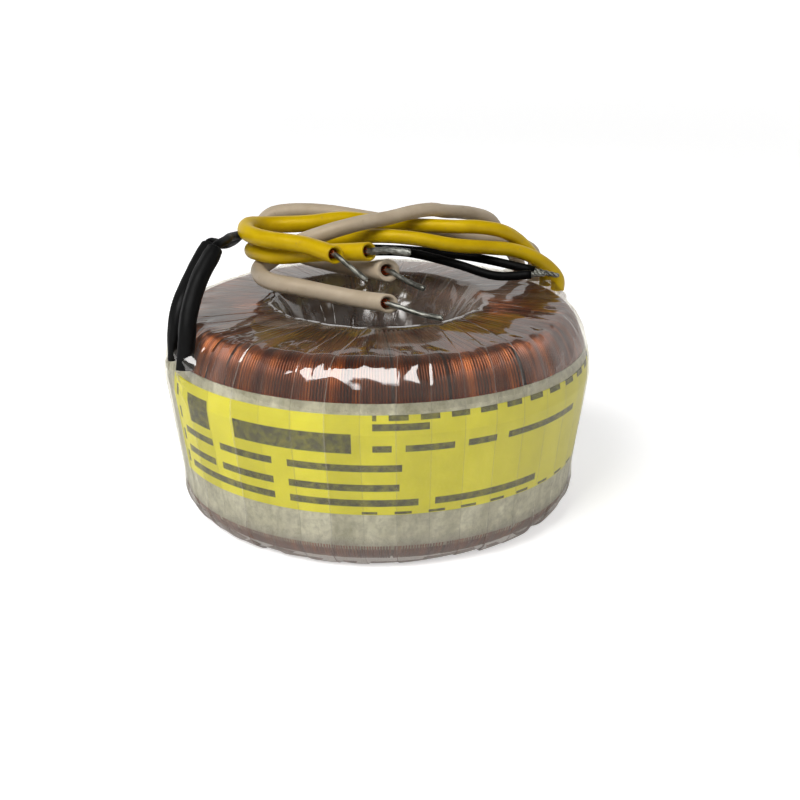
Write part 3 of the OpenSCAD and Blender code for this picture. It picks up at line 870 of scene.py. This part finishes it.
def label_material():
    """Yellow field with a dashed border and plain rules in word lengths."""
    m = Mat("label_yellow")
    angle, _, z = m.cylinder()
    p = m.position()
    # distance round the label from its left edge, in mm, and height in mm
    turn = m.math("FRACT", m.math("SUBTRACT", angle, LABEL_START / 360.0))
    x = m.times(turn, 2 * math.pi * LABEL_R)
    h = m.times(z, 1000.0)

    def band(value, lo, hi):
        return m.times(m.math("GREATER_THAN", value, lo), m.math("LESS_THAN", value, hi))

    def dashes(value, pitch, fill):
        return m.math("LESS_THAN", m.math("FRACT", m.math("DIVIDE", value, pitch)), fill)

    def more(a, b):
        return m.math("MAXIMUM", a, b)

    ink = m.times(m.times(band(h, 28.5, 29.6), band(x, 45.0, 108.0)), dashes(x, 5.3, 0.62))
    ink = more(ink, m.times(m.times(band(h, 11.1, 11.6), band(x, 43.0, 104.0)), dashes(x, 6.1, 0.5)))
    ink = more(ink, m.times(band(x, 1.6, 2.5), dashes(h, 4.3, 0.5)))
    # each row of rules: its height, then the start and end of each rule
    rules = (((19.2, 20.5), ((3.5, 13.2), (15.2, 27.0), (30.0, 50.0))),
             ((15.5, 16.8), ((3.5, 13.2), (15.2, 27.0), (30.0, 49.6))),
             ((12.6, 13.9), ((4.0, 27.0), (30.0, 53.0), (56.0, 78.0))),
             ((26.8, 28.0), ((45.0, 54.5),)),
             ((22.9, 24.1), ((45.0, 48.2), (50.5, 59.0), (61.5, 67.0), (69.5, 89.0))),
             ((22.6, 26.2), ((19.5, 41.5),)),
             ((22.2, 27.6), ((6.5, 13.0),)))
    for (lo, hi), words in rules:
        row = None
        for x0, x1 in words:
            word = band(x, x0, x1)
            row = word if row is None else more(row, word)
        ink = more(ink, m.times(band(h, lo, hi), row))
    ink = m.times(ink, m.span(m.noise(700, p, 3, 0.6), 0.35, 0.6, 0.78, 0.95))
    grime = m.noise(240, p, 4, 0.6)
    colour = m.mix(m.span(grime, 0.35, 0.7), rgb(228, 220, 0), rgb(240, 232, 22))
    # the label turns paler towards its right end
    paler_right = m.span(x, 60.0, 100.0, 0.0, 0.3)
    colour = m.mix(paler_right, colour, rgb(212, 206, 130))
    colour = m.mix(ink, colour, rgb(36, 36, 28))
    return m.done(m.surface(Base_Color=colour, Roughness=0.5,
                            Normal=m.bump(m.noise(1400, p, 3), 0.2, 0.0002)))


def set_material(name, mat):
    mesh = nodes[name].data
    mesh.materials.clear()
    mesh.materials.append(mat)


set_material("side_band", paper_material())
set_material("label", label_material())


def plain_inner(name, a, b, metallic=0.0, rough=0.6, scale=400):
    m = Mat(name)
    n = m.noise(scale, m.position(), 4, 0.6)
    return m.done(m.surface(Base_Color=m.mix(n, a, b), Metallic=metallic, Roughness=rough,
                            Normal=m.bump(n, 0.3, 0.0003)))


steel = plain_inner("core_steel", rgb(120, 122, 126), rgb(170, 172, 176), 1.0, 0.35, 900)
board = plain_inner("pressboard", rgb(150, 122, 84), rgb(182, 152, 110))
kraft = plain_inner("insulating_paper", rgb(176, 152, 110), rgb(204, 182, 140))
inter = plain_inner("interlayer_film", rgb(190, 172, 110), rgb(214, 200, 150), 0.0, 0.25)
inner_copper = plain_inner("inner_copper", rgb(110, 48, 28), rgb(180, 88, 50), 0.9, 0.3, 1200)
for name, mat in (("core", steel), ("core_end_ring_top", board), ("core_end_ring_bottom", board),
                  ("core_outer_strip", kraft), ("core_inner_strip", kraft),
                  ("interlayer_insulation", inter), ("primary_winding", inner_copper),
                  ("secondary_winding_1", inner_copper)):
    set_material(name, mat)

# ---------------------------------------------------------------- stage and light
scene.view_settings.view_transform = "Standard"


def stage_floor():
    """A pale floor that keeps the object's shadow, and glows where it is seen or mirrored."""
    size = 3.0
    mesh = bpy.data.meshes.new("floor")
    corners = [(-size, -size, 0), (size, -size, 0), (size, size, 0), (-size, size, 0)]
    mesh.from_pydata(corners, [], [(0, 1, 2, 3)])
    obj = bpy.data.objects.new("floor", mesh)
    scene.collection.objects.link(obj)
    m = Mat("floor")
    ray = m.add("ShaderNodeLightPath").outputs
    seen = m.math("MAXIMUM", ray["Is Camera Ray"], ray["Is Glossy Ray"])
    seen = m.math("MAXIMUM", seen, ray["Is Transmission Ray"])
    shade = m.surface(Base_Color=(0.9, 0.9, 0.9, 1), Roughness=0.9)
    glow = m.add("ShaderNodeEmission")
    glow.inputs["Color"].default_value = (1, 1, 1, 1)
    m.link(m.span(m.cylinder()[1], 0.45, 1.4, 0.55, 1.0), glow.inputs["Strength"])
    lit = m.add("ShaderNodeAddShader")
    m.link(shade, lit.inputs[0])
    m.link(glow.outputs[0], lit.inputs[1])
    mesh.materials.append(m.done(m.mix_shader(seen, shade, lit.outputs[0])))


def studio_world():
    """White where it is seen; a pale room with one tall window for what shiny things show."""
    world = bpy.data.worlds.new("studio")
    scene.world = world
    w = Nodes(world, "ShaderNodeOutputWorld")
    ray = w.add("ShaderNodeLightPath").outputs
    glossy = ray["Is Glossy Ray"]
    x, y, z = w.parts(w.add("ShaderNodeTexCoord").outputs["Generated"])
    # the room: a pale backdrop behind the object up to 40 degrees, and dimmer above and in front
    room = w.times(w.span(y, -0.2, 0.5, 0.3, 1.0), w.span(z, 0.60, 0.66, 1.0, 0.15))
    room = w.times(room, w.span(glossy, 0.0, 1.0, 0.6, 1.0))
    # the window: in front and to the left, seen only in shiny things
    turn = w.math("ARCTAN2", x, w.span(y, -1.0, 1.0, 1.0, -1.0))
    window = w.times(w.span(turn, -0.90, -0.86), w.span(turn, 0.32, 0.38, 1.0, 0.0))
    window = w.times(window, w.span(z, 0.52, 0.55))
    window = w.times(window, w.span(z, 0.945, 0.955, 1.0, 0.0))
    window = w.times(window, w.span(glossy, 0.0, 1.0, 0.0, 8.0))
    soft = w.add("ShaderNodeBackground")
    soft.inputs["Color"].default_value = (1, 1, 1, 1)
    w.link(w.plus(room, window), soft.inputs["Strength"])
    white = w.add("ShaderNodeBackground")
    white.inputs["Color"].default_value = (1, 1, 1, 1)
    white.inputs["Strength"].default_value = 1.0
    seen = w.math("MAXIMUM", ray["Is Camera Ray"], ray["Is Transmission Ray"])
    w.done(w.mix_shader(seen, soft.outputs[0], white.outputs[0]))


def area_light(name, at, size, power, colour):
    """A soft lamp aimed at the object, which shiny things don't show."""
    data = bpy.data.lights.new(name, "AREA")
    data.shape = "RECTANGLE"
    data.size, data.size_y = size
    data.energy = power
    data.color = colour
    obj = bpy.data.objects.new(name, data)
    scene.collection.objects.link(obj)
    obj.location = at
    obj.rotation_euler = (Vector((0, 0, 0.02)) - Vector(at)).to_track_quat("-Z", "Y").to_euler()
    obj.visible_glossy = False


stage_floor()
studio_world()
area_light("key", (-0.34, -0.40, 0.56), (0.5, 0.36), 5.7, (1, 1, 1))
area_light("right", (0.66, -0.16, 0.40), (0.3, 0.3), 1.1, (1.0, 0.97, 0.92))
